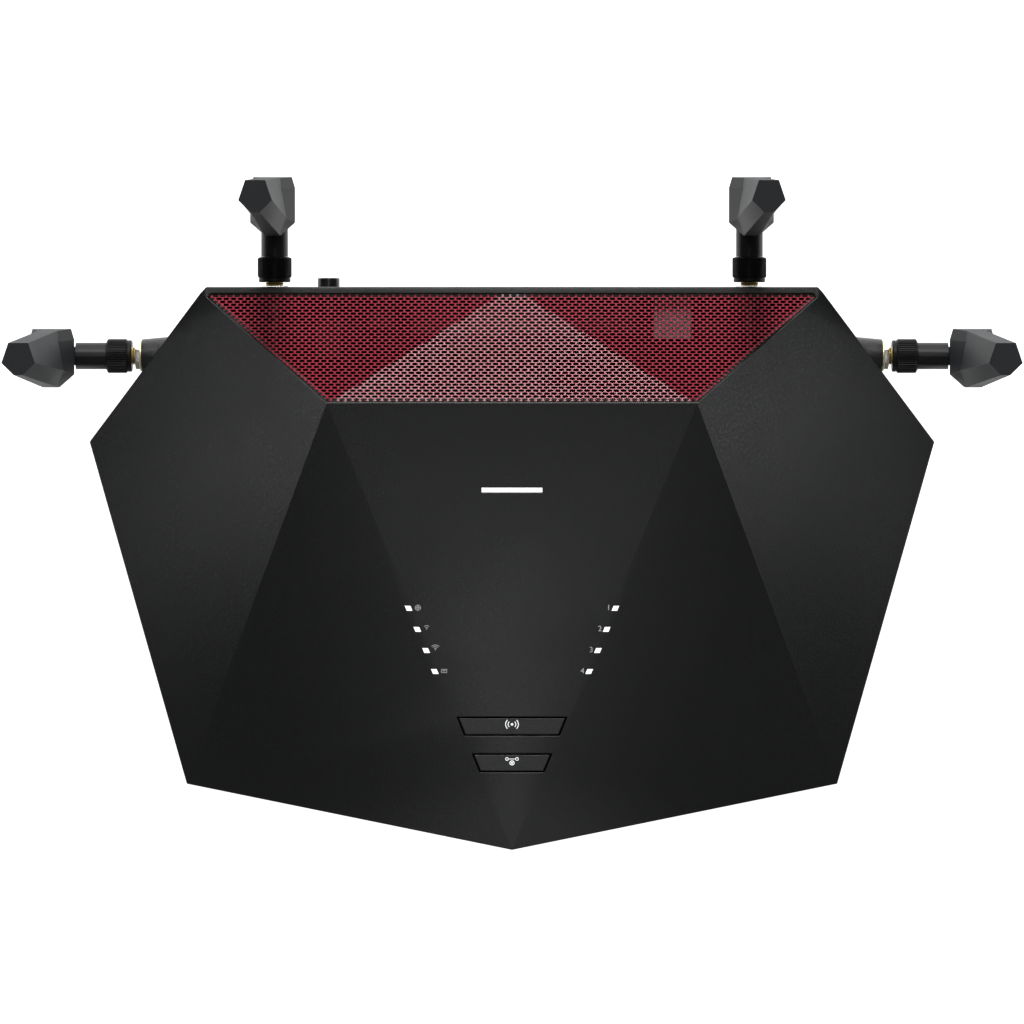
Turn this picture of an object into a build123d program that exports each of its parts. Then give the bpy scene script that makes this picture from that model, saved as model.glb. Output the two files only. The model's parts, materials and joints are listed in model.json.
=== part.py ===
"""Wireless router with a faceted casing and four hinged antennas.

Millimetres. +Z is up, +Y points to the rear, where the sockets are, and +X is to the right seen from
the front. The origin is on the table under the middle of the whole object, antennas included.
"""

from build123d import *
from math import radians, tan
import os

os.makedirs("parts", exist_ok=True)

# ---------------------------------------------------------------- driving dimensions

# Corners of the casing's top, right-hand side. The left-hand side is their mirror image.
tip = Vector(0, -118.2, 18.0)  # the front point
front_corner = Vector(115.1, -95.3, 12.0)
side_corner = Vector(148.6, 25.9, 19.0)
peak = Vector(63.8, 39.9, 58.0)  # the highest point of the casing
rear_middle = Vector(0, 80.1, 54.0)
rear_corner_x = 106.0
crease_end_y = 78.0  # where the crease beside the vent grille runs out at the side wall

wall = 2.2  # thickness of the cover and the tray
wall_lean = 8.0  # degrees by which the side walls lean in towards the table
parting_z = 7.0  # the cover ends here and the tray begins
tray_base_z = 2.0
tray_taper = 50.0  # degrees by which the tray's sides lean in
foot_radius = 8.0

rear_y = rear_middle.Y
panel_half_width = 92.0
panel_top_z = 40.0
socket_face_y = rear_y - 0.5

board_z = 9.0
board_thickness = 1.6
board_top_z = board_z + board_thickness
board_rear_y = 76.0

antenna_axis_z = 27.0
rear_antenna_x = 83.0
rear_hinge_y = 108.7
side_antenna_y = 56.1
side_hinge_x = 159.7
blade_length = 140.0

button_travel = 0.8
power_travel = 2.5
reset_travel = 0.3

LOW = (Align.CENTER, Align.CENTER, Align.MIN)
REAR = (Align.CENTER, Align.MAX, Align.MIN)  # ends at its rear face and stands on its base


def save(piece, name):
    """Labels a finished piece and writes it under that name."""
    piece.part.label = name
    export_step(piece.part, f"parts/{name}.step")


def mirrored(point):
    return Vector(-point.X, point.Y, point.Z)


# ---------------------------------------------------------------- the casing's planes


def facet_plane(first, second, third):
    """The plane through three corners of the top, facing out of the casing."""
    normal = (second - first).cross(third - first).normalized()
    if normal.Z < 0:
        normal = -normal
    return Plane(origin=first, z_dir=normal)


def wall_plane(first, second):
    """The side wall that hangs from the edge between two corners and leans in on its way down."""
    middle = (first + second) * 0.5
    run = second - first
    outward = Vector(run.Y, -run.X, 0).normalized()
    if outward.dot(middle) < 0:
        outward = -outward
    foot = middle - Vector(0, 0, 1) - outward * tan(radians(wall_lean))
    normal = run.cross(foot - first).normalized()
    if normal.dot(outward) < 0:
        normal = -normal
    return Plane(origin=first, z_dir=normal)


def height_on(plane, x, y):
    """The height of a sloping plane above a place on the table."""
    out = plane.z_dir
    start = plane.origin
    return start.Z - (out.X * (x - start.X) + out.Y * (y - start.Y)) / out.Z


centre_facet = facet_plane(peak, mirrored(peak), tip)
outer_facet = facet_plane(peak, front_corner, side_corner)
wall_run = (side_corner.X - rear_corner_x) / (rear_y - side_corner.Y)
crease_end_x = rear_corner_x + wall_run * (rear_y - crease_end_y)
crease_end = Vector(crease_end_x, crease_end_y, height_on(outer_facet, crease_end_x, crease_end_y))
rear_facet = facet_plane(peak, crease_end, rear_middle)
rear_corner = Vector(rear_corner_x, rear_y, height_on(rear_facet, rear_corner_x, rear_y))

facets = [centre_facet, facet_plane(rear_middle, peak, mirrored(peak))]
for flip in (Vector, mirrored):
    facets.append(facet_plane(flip(peak), flip(tip), flip(front_corner)))
    facets.append(facet_plane(flip(peak), flip(front_corner), flip(side_corner)))
    facets.append(facet_plane(flip(peak), flip(crease_end), rear_middle))

rear_wall = Plane(origin=(0, rear_y, 0), z_dir=(0, 1, 0))
right_walls = [
    wall_plane(tip, front_corner),
    wall_plane(front_corner, side_corner),
    wall_plane(side_corner, rear_corner),
]
left_walls = [
    wall_plane(mirrored(tip), mirrored(front_corner)),
    wall_plane(mirrored(front_corner), mirrored(side_corner)),
    wall_plane(mirrored(side_corner), mirrored(rear_corner)),
]
walls = [*left_walls, rear_wall, *right_walls[::-1]]


def casing_form(inset, base_z):
    """The solid under all the facets and inside all the walls, each moved in by the inset."""
    with BuildPart() as form:
        with Locations((0, 0, base_z)):
            Box(400, 400, 100, align=LOW)
        for plane in facets + walls:
            split(bisect_by=plane.offset(-inset), keep=Keep.BOTTOM)
    return form.part


def corner_at(corner, wall_a, wall_b, z):
    """Where the upright edge between two walls, which starts at a corner, passes a height."""
    edge = wall_a.z_dir.cross(wall_b.z_dir)
    return corner + edge * ((z - corner.Z) / edge.Z)


def outline_at(z):
    """The casing's outline at a height below its top corners, as plan points."""
    left = [mirrored(front_corner), mirrored(side_corner), mirrored(rear_corner)]
    right = [rear_corner, side_corner, front_corner]
    corners = [tip, *left, *right]
    ring = [walls[-1], *walls]
    points = [corner_at(c, ring[i], ring[i + 1], z) for i, c in enumerate(corners)]
    return [(p.X, p.Y) for p in points]


outer_form = casing_form(0, parting_z)
cavity_form = casing_form(wall, parting_z - 1)
ledge_form = casing_form(wall + 1.4, parting_z - 1)
post_form = casing_form(wall / 2, parting_z - 1)

# ---------------------------------------------------------------- shared outlines in plan

# The vent grille fills the top behind the two peaks, up to a narrow strip along the rear wall. Its
# rear corners are cut off in line with the side walls.
grille_strip = 2.3
grille_rim = 0.6
grille_side_strip = 3.5  # from the side wall to the cut corner, along X
grille_recess = 1.0
grille_fit = 0.15
grille_base_z = 43.0  # lower than all of the grille, higher than the rear panel
slant = (crease_end.X - peak.X) / (crease_end.Y - peak.Y)
grille_rear_y = rear_y - grille_strip
grille_front_y = peak.Y + grille_rim
grille_front_x = peak.X + slant * grille_rim - grille_rim
cut_end_x = rear_corner_x + wall_run * grille_strip - grille_side_strip
cut_start_y = grille_rear_y - (grille_front_x + slant * (grille_rear_y - grille_front_y) - cut_end_x) / (
    slant + wall_run
)
cut_start_x = cut_end_x + wall_run * (grille_rear_y - cut_start_y)
grille_outline = [
    (-grille_front_x, grille_front_y),
    (grille_front_x, grille_front_y),
    (cut_start_x, cut_start_y),
    (cut_end_x, grille_rear_y),
    (-cut_end_x, grille_rear_y),
    (-cut_start_x, cut_start_y),
]


def grille_prism(grow):
    """An upright prism over the grille's outline, which grows outwards all round."""
    with BuildPart() as prism:
        with BuildSketch(Plane.XY.offset(grille_base_z)):
            with BuildLine():
                Polyline(*grille_outline, close=True)
            make_face()
            offset(amount=grow, mode=Mode.REPLACE, kind=Kind.INTERSECTION)
        extrude(amount=30)
    return prism.part


grille_ring = grille_prism(2.0) - grille_prism(-1.5)


def ridge_x(y):
    """Half the width of the centre panel, between the two ridges that meet at the front tip."""
    return peak.X * (y - tip.Y) / (peak.Y - tip.Y)


# Each long button crosses the whole centre panel, from one ridge to the other.
button_gap = 0.5
wifi_button_y = (-77.0, -70.2)
sync_button_y = (-90.1, -83.3)


def button_outline(span, gap):
    """The four plan corners of a button, or of its slot with a gap of zero."""
    front, rear = span[0] + gap, span[1] - gap
    front_x = ridge_x(front) - gap
    rear_x = ridge_x(rear) - gap
    return [(-front_x, front), (front_x, front), (rear_x, rear), (-rear_x, rear)]


# The status bar crosses the centre panel. Four indicator windows step down outside each ridge.
bar_width = 21.0
bar_depth = 1.6
bar_y = 9.9
window_fit = 0.05
window_width = 2.0
window_depth = 1.75
window_rows = [-31.6 - 7.47 * i for i in range(4)]
ridge_slope = peak.X / (peak.Y - tip.Y)
window_shift = window_depth / 2 * ridge_slope
led_height = 0.9


def window_outline(side, y, grow):
    """A small parallelogram that leans with the ridge beside it, in plan points."""
    near = ridge_x(y) + 0.05 - grow
    far = ridge_x(y) + 0.05 + window_width + grow
    front, rear = y - window_depth / 2 - grow, y + window_depth / 2 + grow
    lean = window_shift + grow * ridge_slope
    corners = [(near - lean, front), (far - lean, front), (far + lean, rear), (near + lean, rear)]
    return [(side * x, y) for x, y in corners]


# Screws: four hold the casing together, six hold the board to the tray.
case_screw_places = [(-104, 10), (104, 10), (-70, -75), (70, -75)]
board_screw_places = [(-86, 40), (86, 40), (-86, -14), (86, -14), (-12, -92), (-38.3, 68)]
screw_seat_z = 6.2
screw_sink = 2.8  # depth of the recess for a case screw's head
screw_head = 1.9

# ---------------------------------------------------------------- places of the antennas

boss_length = 4.8
stack_face = 30.2  # from the hinge axis to the face that the connector is bolted to
side_face_x = side_hinge_x - stack_face
rear_face_y = rear_hinge_y - stack_face


def connector_frame(hinge, inward):
    """A plane at the hinge whose Z runs along the connector, towards the casing, and X is level."""
    return Plane(origin=hinge, x_dir=Vector(0, 0, 1).cross(inward), z_dir=inward)


antennas = {
    "left": connector_frame(
        Vector(-side_hinge_x, side_antenna_y, antenna_axis_z), Vector(1, 0, 0)
    ),
    "right": connector_frame(
        Vector(side_hinge_x, side_antenna_y, antenna_axis_z), Vector(-1, 0, 0)
    ),
    "rear_left": connector_frame(
        Vector(-rear_antenna_x, rear_hinge_y, antenna_axis_z), Vector(0, -1, 0)
    ),
    "rear_right": connector_frame(
        Vector(rear_antenna_x, rear_hinge_y, antenna_axis_z), Vector(0, -1, 0)
    ),
}
jack_radius = 3.17
jack_flange_radius = 4.5

# ---------------------------------------------------------------- top cover

with BuildPart() as top_cover:
    add(outer_form)
    add(cavity_form, mode=Mode.SUBTRACT)
    # tapered bosses that carry the two side antennas
    for seat in (antennas["left"], antennas["right"]):
        with BuildSketch(seat.offset(stack_face)):
            Circle(5.9)
        with BuildSketch(seat.offset(stack_face + 11)):
            Circle(6.9)
        loft()
    # the posts that take the case screws, up to the underside of the facets
    with BuildSketch(Plane.XY.offset(screw_seat_z)):
        with Locations(*case_screw_places):
            Circle(3.5)
    posts = extrude(amount=60, mode=Mode.PRIVATE)
    add(posts & post_form)
    # opening for the vent grille, with a ledge under its edge
    with BuildSketch(Plane.XY.offset(grille_base_z)):
        with BuildLine():
            Polyline(*grille_outline, close=True)
        make_face()
    extrude(amount=30, mode=Mode.SUBTRACT)
    add((grille_ring & cavity_form) - ledge_form)
    # slots for the two long buttons
    for span in (wifi_button_y, sync_button_y):
        with BuildSketch():
            with BuildLine():
                Polyline(*button_outline(span, 0), close=True)
            make_face()
        extrude(amount=60, mode=Mode.SUBTRACT)
    # slots for the status bar and the indicator windows
    with BuildSketch():
        with Locations((0, bar_y)):
            Rectangle(bar_width + 2 * window_fit, bar_depth + 2 * window_fit)
    extrude(amount=60, mode=Mode.SUBTRACT)
    for side in (-1, 1):
        for y in window_rows:
            with BuildSketch():
                with BuildLine():
                    Polyline(*window_outline(side, y, window_fit), close=True)
                make_face()
            extrude(amount=60, mode=Mode.SUBTRACT)
    # opening for the rear panel
    with Locations((0, rear_y - wall / 2, parting_z - 1)):
        Box(2 * panel_half_width, 3 * wall, panel_top_z - parting_z + 1, align=LOW, mode=Mode.SUBTRACT)
    # bores of the side antenna bosses, wider inside for the flange of the connector
    for seat in (antennas["left"], antennas["right"]):
        with BuildSketch(seat.offset(stack_face)):
            Circle(jack_radius + 0.08)
        extrude(amount=boss_length, mode=Mode.SUBTRACT)
        with BuildSketch(seat.offset(stack_face + boss_length)):
            Circle(jack_flange_radius + 0.4)
        extrude(amount=12, mode=Mode.SUBTRACT)
    # pilot holes in the screw posts
    with BuildSketch(Plane.XY.offset(screw_seat_z)):
        with Locations(*case_screw_places):
            Circle(1.5)
    extrude(amount=9, mode=Mode.SUBTRACT)
save(top_cover, "top_cover")

# ---------------------------------------------------------------- vent grille

with BuildPart() as vent_grille:
    add(casing_form(grille_recess, parting_z))
    add(cavity_form, mode=Mode.SUBTRACT)
    add(grille_prism(-grille_fit), mode=Mode.INTERSECT)
save(vent_grille, "vent_grille")

# ---------------------------------------------------------------- lenses and light pipes

with BuildPart() as status_bar_lens:
    with BuildSketch(Plane.XY.offset(board_top_z + led_height)):
        with Locations((0, bar_y)):
            Rectangle(bar_width, bar_depth)
    extrude(amount=60)
    split(bisect_by=centre_facet, keep=Keep.BOTTOM)
    # below the bar only a narrow stem goes on down to its light
    with BuildSketch(Plane.XY.offset(board_top_z)):
        for side in (-1, 1):
            with Locations((side * (bar_width / 4 + 1), bar_y)):
                Rectangle(bar_width / 2 - 2, 2 * bar_depth)
    extrude(amount=height_on(centre_facet, 0, bar_y) - board_top_z - 6, mode=Mode.SUBTRACT)
save(status_bar_lens, "status_bar_lens")

with BuildPart() as indicator_windows:
    for side in (-1, 1):
        for y in window_rows:
            with BuildSketch(Plane.XY.offset(board_top_z + led_height)):
                with BuildLine():
                    Polyline(*window_outline(side, y, 0), close=True)
                make_face()
            extrude(amount=60)
    for flip in (Vector, mirrored):
        facet = facet_plane(flip(peak), flip(tip), flip(front_corner))
        split(bisect_by=facet, keep=Keep.BOTTOM)
save(indicator_windows, "indicator_windows")

# ---------------------------------------------------------------- the two long buttons

switch_height = 4.3
switch_well = 1.8  # the stem reaches into a well in the switch, with room for its travel
stem_radius = 1.5
stem_end_z = board_top_z + switch_height - switch_well + button_travel + 0.35
cap_depth = 3.6


def centre_facet_level(y, depth):
    """A plane on the centre panel's middle line, under its surface by a depth."""
    surface = Vector(0, y, height_on(centre_facet, 0, y))
    return Plane(origin=surface, x_dir=(1, 0, 0), z_dir=centre_facet.z_dir).offset(-depth)


def long_button(span, name):
    """A keycap that lies in the centre facet, with catches that hold it in and a stem."""
    middle = (span[0] + span[1]) / 2
    with BuildPart() as button:
        with BuildSketch():
            with BuildLine():
                Polyline(*button_outline(span, button_gap), close=True)
            make_face()
        extrude(amount=60)
        split(bisect_by=centre_facet, keep=Keep.BOTTOM)
        split(bisect_by=centre_facet.offset(-cap_depth), keep=Keep.TOP)
        with BuildSketch(Plane.XY.offset(stem_end_z)):
            with Locations((0, middle)):
                Circle(stem_radius)
        extrude(amount=height_on(centre_facet, 0, middle) - cap_depth / 2 - stem_end_z)
        # the catches hook under the cover in front of the cap and behind it
        with BuildSketch(centre_facet_level(middle, wall + 0.4)):
            Rectangle(8, span[1] - span[0] + 2)
        extrude(amount=-1)
    save(button, name)


long_button(wifi_button_y, "wifi_button")
long_button(sync_button_y, "sync_button")

# ---------------------------------------------------------------- bottom tray and feet

foot_places = [(-104, 48), (104, 48), (-90, -66), (90, -66)]
foot_recess = 0.6

with BuildPart() as bottom_tray:
    with BuildSketch(Plane.XY.offset(parting_z)):
        with BuildLine():
            Polyline(*outline_at(parting_z), close=True)
        make_face()
    extrude(amount=parting_z - tray_base_z, dir=(0, 0, -1), taper=tray_taper)
    with BuildSketch(Plane.XY.offset(parting_z)):
        with BuildLine():
            Polyline(*outline_at(parting_z), close=True)
        make_face()
        offset(amount=-wall - 0.4, mode=Mode.REPLACE, kind=Kind.INTERSECTION)
    extrude(
        amount=parting_z - tray_base_z - wall, dir=(0, 0, -1), taper=tray_taper, mode=Mode.SUBTRACT
    )
    # lip that locates the cover
    with BuildSketch(Plane.XY.offset(tray_base_z + wall)):
        with BuildLine():
            Polyline(*outline_at(parting_z), close=True)
        make_face()
        offset(amount=-wall - 0.4, mode=Mode.REPLACE, kind=Kind.INTERSECTION)
        offset(amount=-1.5, mode=Mode.SUBTRACT, kind=Kind.INTERSECTION)
    extrude(amount=board_z - tray_base_z - wall)
    # standoffs under the board and seats for the case screws
    with BuildSketch(Plane.XY.offset(tray_base_z)):
        with Locations(*board_screw_places):
            Circle(3.0)
    extrude(amount=board_z - tray_base_z)
    with BuildSketch(Plane.XY.offset(tray_base_z)):
        with Locations(*case_screw_places):
            Circle(6.0)
    extrude(amount=screw_seat_z - tray_base_z)
    for places, radius, low_z, high_z in (
        (case_screw_places, 1.8, tray_base_z, screw_seat_z),
        (case_screw_places, 3.3, tray_base_z, tray_base_z + screw_sink),
        (board_screw_places, 1.25, tray_base_z + wall, board_z),
    ):
        with BuildSketch(Plane.XY.offset(low_z)):
            with Locations(*places):
                Circle(radius)
        extrude(amount=high_z - low_z, mode=Mode.SUBTRACT)
    # vent slots in two fields, clear of the seats
    with BuildSketch(Plane.XY.offset(tray_base_z)):
        with Locations((-40, 10), (40, 10)):
            with GridLocations(0, 7.5, 1, 9):
                SlotOverall(46, 2.6)
    extrude(amount=wall, mode=Mode.SUBTRACT)
    # recesses for the feet
    with BuildSketch(Plane.XY.offset(tray_base_z)):
        with Locations(*foot_places):
            Circle(foot_radius)
    extrude(amount=foot_recess, mode=Mode.SUBTRACT)
save(bottom_tray, "bottom_tray")

with BuildPart() as rubber_feet:
    with BuildSketch():
        with Locations(*foot_places):
            Circle(foot_radius)
    extrude(amount=tray_base_z + foot_recess)
    fillet(rubber_feet.faces().group_by(Axis.Z)[0].edges(), 0.5)
save(rubber_feet, "rubber_feet")

with BuildPart() as case_screws:
    with BuildSketch(Plane.XY.offset(tray_base_z + screw_sink - screw_head)):
        with Locations(*case_screw_places):
            Circle(3.0)
    extrude(amount=screw_head)
    with BuildSketch(Plane.XY.offset(tray_base_z + screw_sink - screw_head)):
        with Locations(*case_screw_places):
            RegularPolygon(1.5, 6)
    extrude(amount=1.1, mode=Mode.SUBTRACT)
    with BuildSketch(Plane.XY.offset(tray_base_z + screw_sink)):
        with Locations(*case_screw_places):
            Circle(1.45)
    extrude(amount=10)
save(case_screws, "case_screws")

# ---------------------------------------------------------------- rear panel and its sockets

socket_fit = 0.2
lan_pitch = 13.97
lan_ports = 4
port_width = 11.9
port_height = 7.2
port_depth = 13.0
latch_width = 6.2
latch_height = 1.6
port_base_z = board_top_z + 2.2

# name: middle, width, height and depth of each housing, all standing on the board
housings = {
    "internet_socket": (-27.0, 16.2, 13.4, 16.0),
    "lan_sockets": (14.5, lan_pitch * lan_ports + 2.2, 13.4, 16.0),
    "usb_socket": (56.5, 13.2, 5.9, 17.5),
    "power_inlet": (-46.0, 9.0, 11.0, 14.0),
}
power_button_x = -64.5
power_button_z = 16.2
power_button_radius = 3.9
reset_x = 69.0
reset_z = 13.2
reset_radius = 0.95

with BuildPart() as rear_panel:
    with BuildSketch(Plane.XY.offset(parting_z + 0.05)):
        with Locations((0, rear_y - wall / 2)):
            Rectangle(2 * panel_half_width - 0.2, wall)
    extrude(amount=panel_top_z - parting_z - 0.1)
    # flange behind the cover's opening
    with BuildSketch(Plane.XY.offset(board_z + 0.2)):
        with Locations((0, rear_y - wall - 0.65)):
            Rectangle(2 * panel_half_width + 3, 1.3)
    extrude(amount=panel_top_z - board_z + 1.3)
    # bosses that carry the rear antennas, each with a recess for the connector's nut
    for seat in (antennas["rear_left"], antennas["rear_right"]):
        with BuildSketch(seat.offset(rear_hinge_y - rear_y + wall)):
            Circle(7.5)
        extrude(amount=stack_face + boss_length - (rear_hinge_y - rear_y + wall))
        with BuildSketch(seat.offset(rear_hinge_y - rear_y)):
            Circle(6.3)
        extrude(amount=stack_face - (rear_hinge_y - rear_y), mode=Mode.SUBTRACT)
        with BuildSketch(seat.offset(stack_face)):
            Circle(jack_radius + 0.08)
        extrude(amount=boss_length, mode=Mode.SUBTRACT)
    for middle, width, height, depth in housings.values():
        with Locations((middle, rear_y + 1, board_top_z - socket_fit)):
            Box(
                width + 2 * socket_fit,
                depth,
                height + 2 * socket_fit,
                align=REAR,
                mode=Mode.SUBTRACT,
            )
    for x, z, radius in (
        (power_button_x, power_button_z, power_button_radius + 0.35),
        (reset_x, reset_z, reset_radius + 0.35),
    ):
        with BuildSketch(Plane(origin=(x, rear_y + 1, z), z_dir=(0, -1, 0))):
            Circle(radius)
        extrude(amount=6, mode=Mode.SUBTRACT)
save(rear_panel, "rear_panel")


def ethernet_block(name, count):
    """A row of network sockets in one housing. Each takes a plug, with its latch upwards."""
    middle, width, height, depth = housings[name]
    with BuildPart() as block:
        with Locations((middle, socket_face_y, board_top_z)):
            Box(width, depth, height, align=REAR)
        for i in range(count):
            x = middle + lan_pitch * (i - (count - 1) / 2)
            mouth = Plane(origin=(x, socket_face_y, port_base_z), x_dir=(1, 0, 0), z_dir=(0, -1, 0))
            with BuildSketch(mouth):
                Rectangle(port_width, port_height, align=(Align.CENTER, Align.MIN))
                with Locations((0, port_height)):
                    Rectangle(latch_width, latch_height, align=(Align.CENTER, Align.MIN))
            extrude(amount=port_depth, mode=Mode.SUBTRACT)
    save(block, name)


ethernet_block("internet_socket", 1)
ethernet_block("lan_sockets", lan_ports)

with BuildPart() as usb_socket:
    middle, width, height, depth = housings["usb_socket"]
    with Locations((middle, socket_face_y, board_top_z)):
        Box(width, depth, height, align=REAR)
    with Locations((middle, socket_face_y, board_top_z + 0.4)):
        Box(width - 0.7, depth - 3, height - 0.8, align=REAR, mode=Mode.SUBTRACT)
    with Locations((middle, socket_face_y - 1, board_top_z + 2.9)):
        Box(11.0, depth - 2, 1.9, align=REAR)
save(usb_socket, "usb_socket")

inlet_axis_z = board_top_z + 6.3
with BuildPart() as power_inlet:
    middle, width, height, depth = housings["power_inlet"]
    with Locations((middle, socket_face_y, board_top_z)):
        Box(width, depth, height, align=REAR)
    inlet_mouth = Plane(origin=(middle, socket_face_y, inlet_axis_z), z_dir=(0, -1, 0))
    with BuildSketch(inlet_mouth):
        Circle(3.15)
    extrude(amount=10, mode=Mode.SUBTRACT)
    with BuildSketch(inlet_mouth.offset(1)):
        Circle(1.0)
    extrude(amount=10)
save(power_inlet, "power_inlet")

# ---------------------------------------------------------------- power and reset buttons

power_face_y = rear_y + 3.4
power_flange_y = rear_y - 8.2
power_stem_end_y = power_flange_y - 10
power_switch_y = power_flange_y - power_travel - 0.5

with BuildPart() as power_button:
    power_front = Plane(
        origin=(power_button_x, power_face_y, power_button_z), z_dir=(0, -1, 0)
    )
    with BuildSketch(power_front):
        Circle(power_button_radius)
    extrude(amount=power_face_y - power_flange_y)
    fillet(power_button.faces().sort_by(Axis.Y)[-1].edges(), 0.5)
    with BuildSketch(power_front.offset(power_face_y - power_flange_y - 1.4)):
        Circle(4.7)
    extrude(amount=1.4)
    with BuildSketch(power_front.offset(power_face_y - power_flange_y)):
        Circle(stem_radius)
    extrude(amount=power_flange_y - power_stem_end_y)
save(power_button, "power_button")

with BuildPart() as power_switch:
    with Locations((power_button_x, power_switch_y, board_top_z)):
        Box(9.0, 13.5, 9.4, align=REAR)
    with BuildSketch(
        Plane(origin=(power_button_x, power_switch_y, power_button_z), z_dir=(0, -1, 0))
    ):
        Circle(stem_radius + 0.35)
    extrude(amount=11, mode=Mode.SUBTRACT)
save(power_switch, "power_switch")

reset_end_y = rear_y - 11
with BuildPart() as reset_button:
    reset_front = Plane(origin=(reset_x, rear_y - 1.2, reset_z), z_dir=(0, -1, 0))
    with BuildSketch(reset_front):
        Circle(reset_radius)
    extrude(amount=rear_y - 1.2 - reset_end_y)
    with BuildSketch(reset_front.offset(3.4)):
        Circle(2.0)
    extrude(amount=1)
save(reset_button, "reset_button")

with BuildPart() as touch_switches:
    for low_y, high_y in (wifi_button_y, sync_button_y):
        with Locations((0, (low_y + high_y) / 2, board_top_z)):
            Box(6.2, 6.2, switch_height, align=LOW)
        with Locations((0, (low_y + high_y) / 2, board_top_z + switch_height)):
            Hole(stem_radius + 0.35, depth=switch_well)
    with Locations((reset_x, reset_end_y - reset_travel - 0.35, board_top_z)):
        Box(6.2, 5, 5.2, align=REAR)
save(touch_switches, "touch_switches")

# ---------------------------------------------------------------- main board and what it carries

board_outline = [
    (-92, board_rear_y),
    (-92, -20),
    (-45, -62),
    (-18, -98),
    (18, -98),
    (45, -62),
    (92, -20),
    (92, board_rear_y),
]

with BuildPart() as main_board:
    with BuildSketch(Plane.XY.offset(board_z)):
        with BuildLine():
            Polyline(*board_outline, close=True)
        make_face()
        with Locations(*board_screw_places):
            Circle(1.5, mode=Mode.SUBTRACT)
    extrude(amount=board_thickness)
save(main_board, "main_board")

sink_y = 36.5
can_height = 1.9
pad_height = 0.9
sink_base_z = board_top_z + can_height + pad_height
radio_can_places = [(-56, -8), (56, -8), (0, -42)]

with BuildPart() as shield_cans:
    with BuildSketch(Plane.XY.offset(board_top_z)):
        with Locations((-13, sink_y), (17, sink_y)):
            Rectangle(24, 30)
        with Locations(*radio_can_places):
            Rectangle(34, 26)
    extrude(amount=can_height)
save(shield_cans, "shield_cans")

with BuildPart() as thermal_pads:
    with BuildSketch(Plane.XY.offset(board_top_z + can_height)):
        with Locations((-13, sink_y), (17, sink_y)):
            Rectangle(20, 26)
    extrude(amount=pad_height)
save(thermal_pads, "thermal_pads")

with BuildPart() as heat_sink:
    with BuildSketch(Plane.XY.offset(sink_base_z)):
        with Locations((0, sink_y)):
            Rectangle(72, 42)
    extrude(amount=2.5)
    with BuildSketch(Plane.XY.offset(sink_base_z + 2.5)):
        with Locations((0, sink_y)):
            with GridLocations(5.0, 0, 14, 1):
                Rectangle(1.4, 42)
    extrude(amount=15)
    # four legs that stand on the board
    with BuildSketch(Plane.XY.offset(board_top_z)):
        with Locations((0, sink_y)):
            with GridLocations(66, 35, 2, 2):
                Circle(2.0)
    extrude(amount=sink_base_z - board_top_z)
save(heat_sink, "heat_sink")

with BuildPart() as indicator_leds:
    with BuildSketch(Plane.XY.offset(board_top_z)):
        for side in (-1, 1):
            for y in window_rows:
                with Locations((side * (ridge_x(y) + window_width / 2), y)):
                    Rectangle(1.6, 1.2)
        with Locations((0, bar_y)):
            Rectangle(3.0, 1.4)
    extrude(amount=led_height)
save(indicator_leds, "indicator_leds")

with BuildPart() as board_screws:
    with BuildSketch(Plane.XY.offset(board_top_z)):
        with Locations(*board_screw_places):
            Circle(2.6)
    extrude(amount=1.6)
    fillet(board_screws.faces().filter_by(Axis.Z).group_by(Axis.Z)[-1].edges(), 0.6)
    with BuildSketch(Plane.XY.offset(tray_base_z + wall)):
        with Locations(*board_screw_places):
            Circle(1.2)
    extrude(amount=board_top_z - tray_base_z - wall)
save(board_screws, "board_screws")

# ---------------------------------------------------------------- antennas

tongue_half = 3.2
tongue_radius = 5.0
neck_half = 3.5
pin_radius = 1.25
pin_half = 4.8
barrel_radius = 4.7
barrel_near = 7.2  # places along the connector, measured from the hinge axis
barrel_far = 17.8
journal_start = 11.1
journal_radius = 2.4
nut_start = 18.15
nut_end = 26.8
nut_radius = 5.95
collar_radius = 5.55
jack_tip = 20.7
thread_nut_face = 28.0
nut_shoulder = 25.3
washer_thickness = 0.5
slot_gap = 0.4
plug_flange_start = 19.5
plug_flange_radius = 3.6
insulator_radius = 2.0
crimp_end = 43.0
radiator_y = -0.4


def add_round(seat, start, end, radius, mode=Mode.ADD):
    """Adds a round bar, or a bore, along a connector in the part being built."""
    with BuildSketch(seat.offset(start)) as section:
        Circle(radius)
    extrude(section.sketch, amount=end - start, mode=mode)


# Sections of a blade: x and y of the corners on its right-hand half. The flat back is to the rear.
blade_root_section = [(3.3, 9.2), (5.3, -5.1), (2.7, -10.8)]
blade_tip_section = [(3.25, 4.9), (5.45, -1.6), (1.46, -5.5)]
bulb_foot_section = [(3.0, 4.5), (4.5, 2.5), (4.5, -2.5), (2.5, -4.5)]
bulb_wide_section = [(6.7, 9.5), (7.8, 5.8), (7.8, -6.3), (2.7, -10.8)]
bulb_crown_section = [(2.8, 8.6), (4.0, 5.0), (4.6, -4.6), (2.2, -10.2)]
blade_root_z = 20.0
bulb_foot_z = -5.0
bulb_wide_z = 15.0
bulb_crown_z = 33.0


def blade_section(plane, corners):
    """A section that is symmetric about its Y axis, ready for a loft."""
    with BuildSketch(plane) as section:
        with BuildLine():
            Polyline(*corners, *[(-x, y) for x, y in reversed(corners)], close=True)
        make_face()
    return section.sketch


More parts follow.
